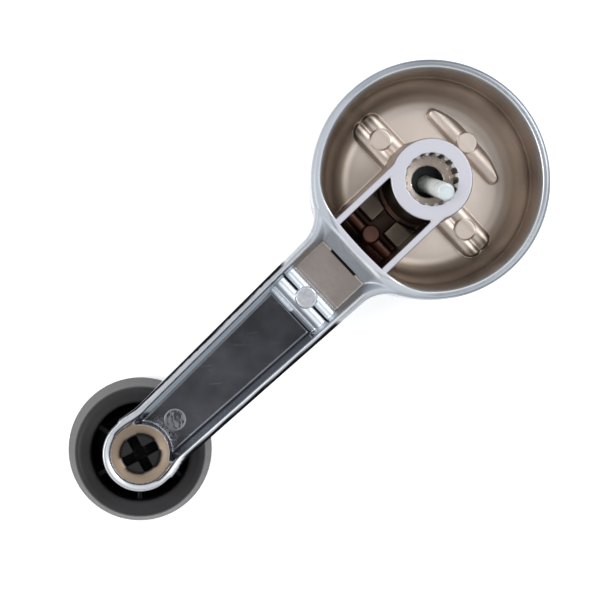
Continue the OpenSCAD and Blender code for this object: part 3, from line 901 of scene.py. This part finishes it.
def casting_material(obj):
    m = Nodes("plated_die_casting")
    masks = [layer.name for layer in obj.data.attributes if layer.data_type == "FLOAT"]
    k = {name: m.attribute(name) for name in masks}
    cloud = m.noise(45, 4, 0.55)
    soft = m.noise(120, 3, 0.5)
    fine = m.noise(1100, 3, 0.6)
    grain = m.noise(2600, 2, 0.6)
    scrape = m.noise(620, 5, 0.7, distortion=2.0)
    hair = m.noise(36, 2, 0.5, stretch=(1, 40, 40), turn=42)

    worn = floor_wear(m, k, scrape)
    hair = m.math("MULTIPLY", m.window(hair, 0.66, 0.76, 2.0, 3.0), k["channel_floor"])
    colour = casting_colour(m, k, cloud, soft, fine)
    colour = m.mix(m.math("MULTIPLY", worn, 0.55), colour, (0.36, 0.37, 0.38))
    colour = m.mix(m.math("MULTIPLY", hair, 0.25), colour, (0.5, 0.5, 0.5))
    rough = casting_rough(m, k, cloud, soft, fine, worn)
    normal = m.bump(m.math("MULTIPLY", grain, k["flat_top"]), 0.000012, 0.6)
    normal = m.bump(m.math("MULTIPLY", scrape, worn), 0.00012, 0.7, normal)

    # a mirror goes white at grazing angles, so the painted dark reflection on the flank and the painted
    # shade in the valleys are not metallic, nor quite the wall painted light
    plain = m.math("MAXIMUM", k["flank_reflection"], m.math("MULTIPLY", k["wall_painted_light"], 0.75))
    plain = m.math("MAXIMUM", plain, k["valley_shade"])
    m.link(m.math("SUBTRACT", 1.0, plain), m.bsdf.inputs["Metallic"])
    m.finish(obj, colour, rough, normal, Specular_IOR_Level=0.0)


def knob_material(obj):
    m = Nodes("moulded_knob_plastic")
    cloud = m.noise(90, 4)
    grain = m.noise(3200, 2, 0.7)
    deep = m.attribute("deep")
    colour = m.tone(cloud, (0.021, 0.020, 0.021), (0.030, 0.029, 0.030))
    # painted shade in the hollow and the slots
    colour = m.mix(deep, colour, (0.004, 0.004, 0.005))
    rough = m.tone(grain, 0.34, 0.46)
    rough = m.mix(m.attribute("finger"), rough, 0.6)
    m.finish(obj, colour, rough, m.bump(grain, 0.00002, 0.5), Specular_IOR_Level=0.13)


def plated_material(obj, name, rough_low, rough_high):
    m = Nodes(name)
    cloud = m.noise(120, 5)
    colour = m.tone(cloud, *PLATING)
    streak = m.noise(300, 3, 0.5)
    rough = m.tone(streak, rough_low, rough_high)
    m.finish(obj, colour, rough, m.bump(streak, 0.000004, 0.5), Metallic=1.0)


def screw_material(obj):
    m = Nodes("zinc_plate")
    cloud = m.noise(260, 4, 0.6)
    # painted light and shade on one zinc plate: the side painted light against the socket's shade, the end
    # painted darker
    side = m.tone(cloud, (0.84, 0.89, 0.88), (0.94, 0.96, 0.95))
    end = m.tone(cloud, (0.40, 0.45, 0.47), (0.50, 0.55, 0.57))
    colour = m.mix(m.attribute("end"), side, end)
    streak = m.noise(300, 3, 0.5)
    rough = m.tone(streak, 0.24, 0.36)
    m.finish(obj, colour, rough, m.bump(streak, 0.000006, 0.5), Metallic=0.1)


def washer_material(obj):
    m = Nodes("dark_fibre")
    fibre = m.noise(2200, 4, 0.7)
    colour = m.tone(fibre, (0.020, 0.030, 0.027), (0.055, 0.070, 0.064))
    rough = m.tone(fibre, 0.4, 0.65)
    m.finish(obj, colour, rough, m.bump(fibre, 0.00003, 0.7))


casting_material(casting_obj)
knob_material(knob_obj)
plated_material(cap_obj, "chrome_cap", 0.05, 0.09)
plated_material(face_obj, "chrome_face", 0.06, 0.1)
screw_material(screw_obj)
washer_material(washer_obj)


# ---------------------------------------------------------------- floor, light and camera
def floor():
    mesh = bpy.data.meshes.new("studio_floor")
    half = 1.6                           # in metres, like z
    z = KNOB_END * MM - 0.0002           # just clear of the knob's front
    corners = [(-half, -half, z), (half, -half, z), (half, half, z), (-half, half, z)]
    mesh.from_pydata(corners, [], [(0, 1, 2, 3)])
    obj = bpy.data.objects.new("studio_floor", mesh)
    bpy.context.scene.collection.objects.link(obj)
    m = Nodes("pale_floor")
    speck = m.noise(4, 3)
    colour = m.tone(speck, 0.93, 0.95)
    rough = m.tone(speck, 0.85, 0.95)
    m.finish(obj, colour, rough, Emission_Color=(1, 1, 1, 1), Emission_Strength=0.35)


def sky():
    """A dark horizon, a bright ring of light above it and a dark patch where the camera stands."""
    world = bpy.data.worlds.new("studio")
    bpy.context.scene.world = world
    world.use_nodes = True
    tree = world.node_tree
    coords = tree.nodes.new("ShaderNodeTexCoord")
    split = tree.nodes.new("ShaderNodeSeparateXYZ")
    tree.links.new(coords.outputs["Generated"], split.inputs["Vector"])
    ramp = tree.nodes.new("ShaderNodeValToRGB")
    ramp.color_ramp.interpolation = "EASE"
    stops = ((0.0, 0.25), (0.22, 0.12), (0.42, 0.5), (0.55, 0.9), (0.93, 1.0), (0.968, 0.08), (1.0, 0.06))
    while len(ramp.color_ramp.elements) < len(stops):
        ramp.color_ramp.elements.new(0.5)
    for element, (place, value) in zip(ramp.color_ramp.elements, stops):
        element.position = place
        element.color = (value * 0.985, value, value * 1.02, 1)
    tree.links.new(split.outputs["Z"], ramp.inputs["Fac"])
    background = tree.nodes["Background"]
    tree.links.new(ramp.outputs["Color"], background.inputs["Color"])
    background.inputs["Strength"].default_value = 1.2


def area(name, place, target, size, power):
    light = bpy.data.lights.new(name, "AREA")
    light.shape = "RECTANGLE"
    light.size, light.size_y = size
    light.energy = power
    obj = bpy.data.objects.new(name, light)
    obj.location = place
    obj.rotation_euler = (Vector(target) - Vector(place)).to_track_quat("-Z", "Y").to_euler()
    bpy.context.scene.collection.objects.link(obj)


def camera():
    """Nearly square on to the open back, leaning a little to the knob's side."""
    right = Vector((-0.72384, 0.68518, 0.08116)).normalized()
    forward = Vector((-0.07046, 0.04361, -0.99656)).normalized()
    up = right.cross(forward).normalized()
    right = forward.cross(up)
    data = bpy.data.cameras.new("camera")
    data.sensor_width = 36.0
    data.lens = 115.56
    data.clip_start = 0.01
    obj = bpy.data.objects.new("camera", data)
    turn = Matrix((right, up, -forward)).transposed()
    obj.matrix_world = Matrix.Translation(Vector((84.85, -23.40, 514.55)) * MM) @ turn.to_4x4()
    bpy.context.scene.collection.objects.link(obj)
    bpy.context.scene.camera = obj


floor()
sky()
area("softbox_near", (0.42, -0.30, 0.42), (0.05, 0, 0), (0.30, 0.30), 1.9)
area("softbox_far", (-0.40, 0.12, 0.42), (0.02, 0, 0), (0.30, 0.30), 1.9)
camera()
bpy.context.scene.view_settings.view_transform = "Standard"
